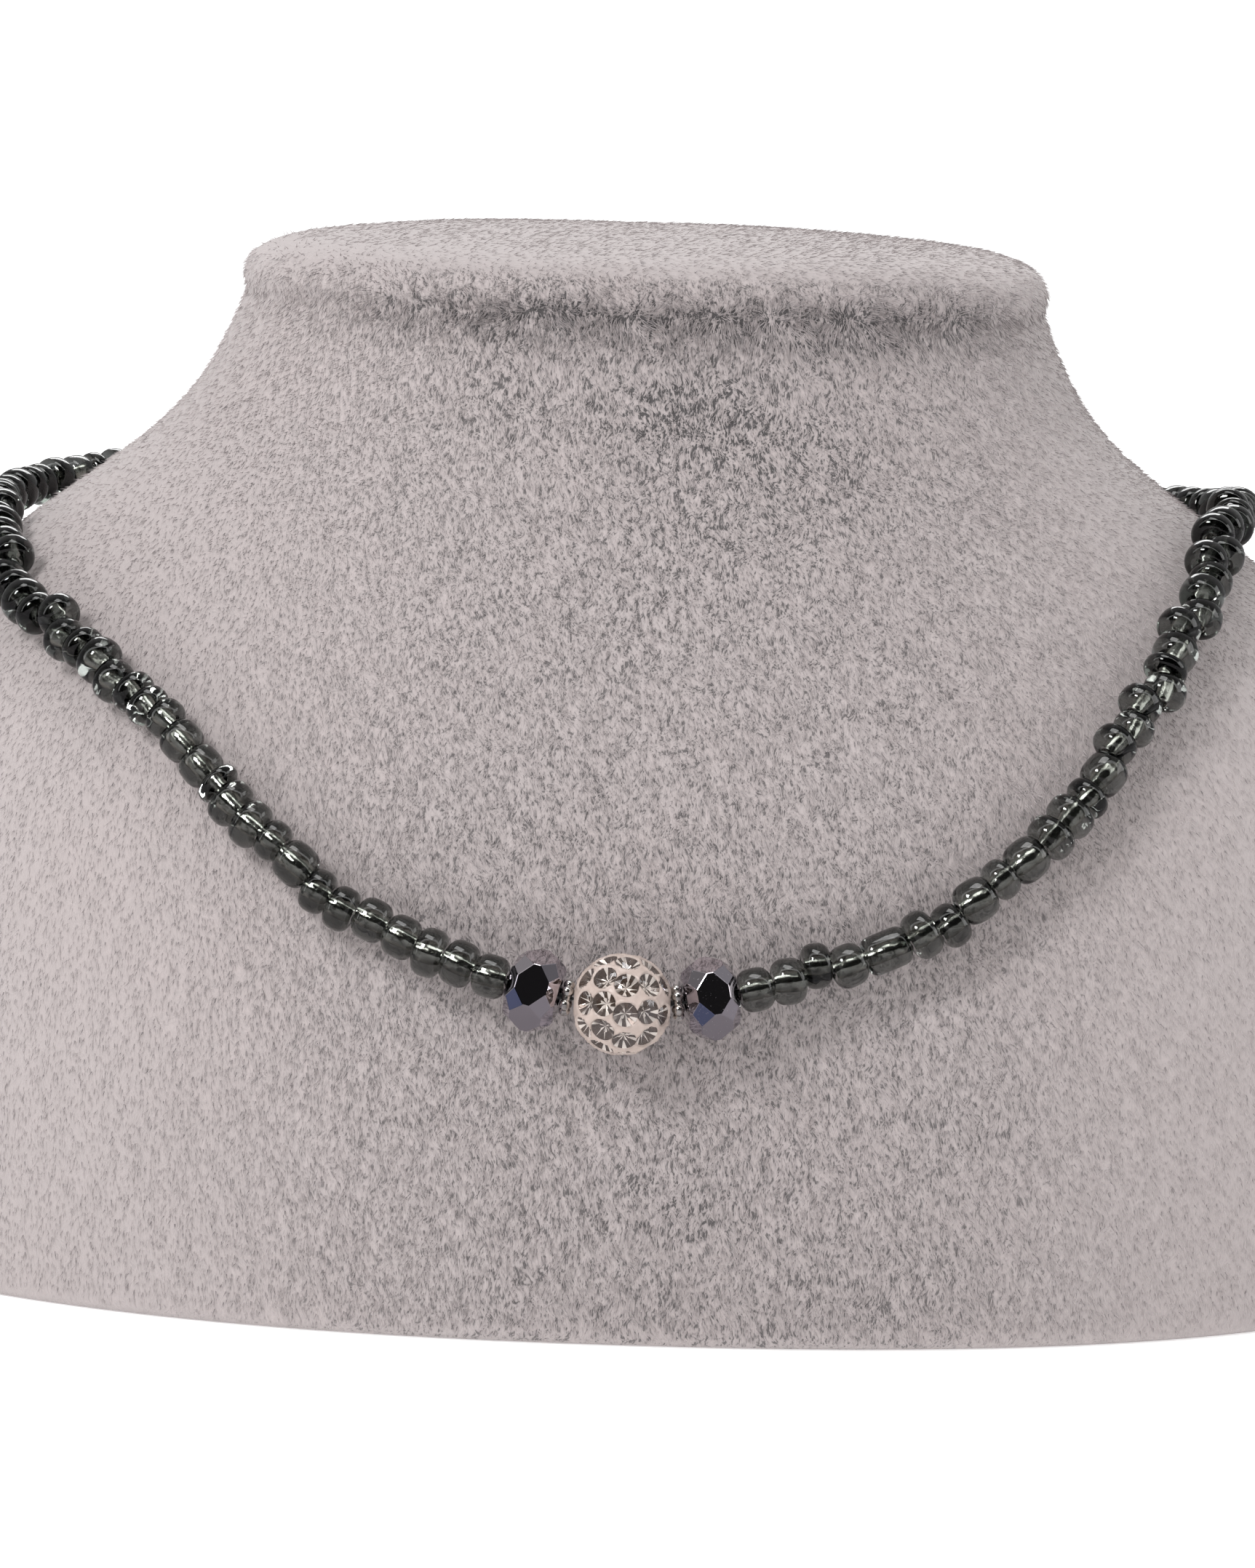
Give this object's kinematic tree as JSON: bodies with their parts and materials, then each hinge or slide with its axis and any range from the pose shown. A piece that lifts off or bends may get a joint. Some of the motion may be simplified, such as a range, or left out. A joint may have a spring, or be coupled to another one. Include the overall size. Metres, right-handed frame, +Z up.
{
  "type": "beaded choker necklace on a neck bust",
  "caption": "Choker of smoky glass beads with a stone-set ball between two faceted crystals, worn by a low padded neck form that stands on a flat foot.",
  "frame": {"origin": "on the flat foot of the neck form, under the middle of its neck, on the surface it stands on", "axes": "+Z up, -Y the front of the form, where the ball hangs, +X to the right of the picture"},
  "size_m": [0.1802, 0.1084, 0.1057],
  "materials": {
    "plush": "short warm grey velvet pile",
    "smoky_glass": "smoky grey-green glass with a silver lining",
    "pave_clay": "pinkish white clay set with clear foiled stones",
    "dark_crystal": "dark gunmetal mirror on cut facets",
    "silver": "antiqued silver",
    "thread": "dark twisted thread"
  },
  "bodies": {
    "root": {"neck_bust": "plush", "bead_string_left": "smoky_glass", "bead_string_right": "smoky_glass", "pave_ball": "pave_clay", "rondelle_left": "dark_crystal", "rondelle_right": "dark_crystal", "spacer_left": "silver", "spacer_right": "silver", "centre_thread": "thread", "barrel_clasp": "silver"}
  },
  "joints": []
}
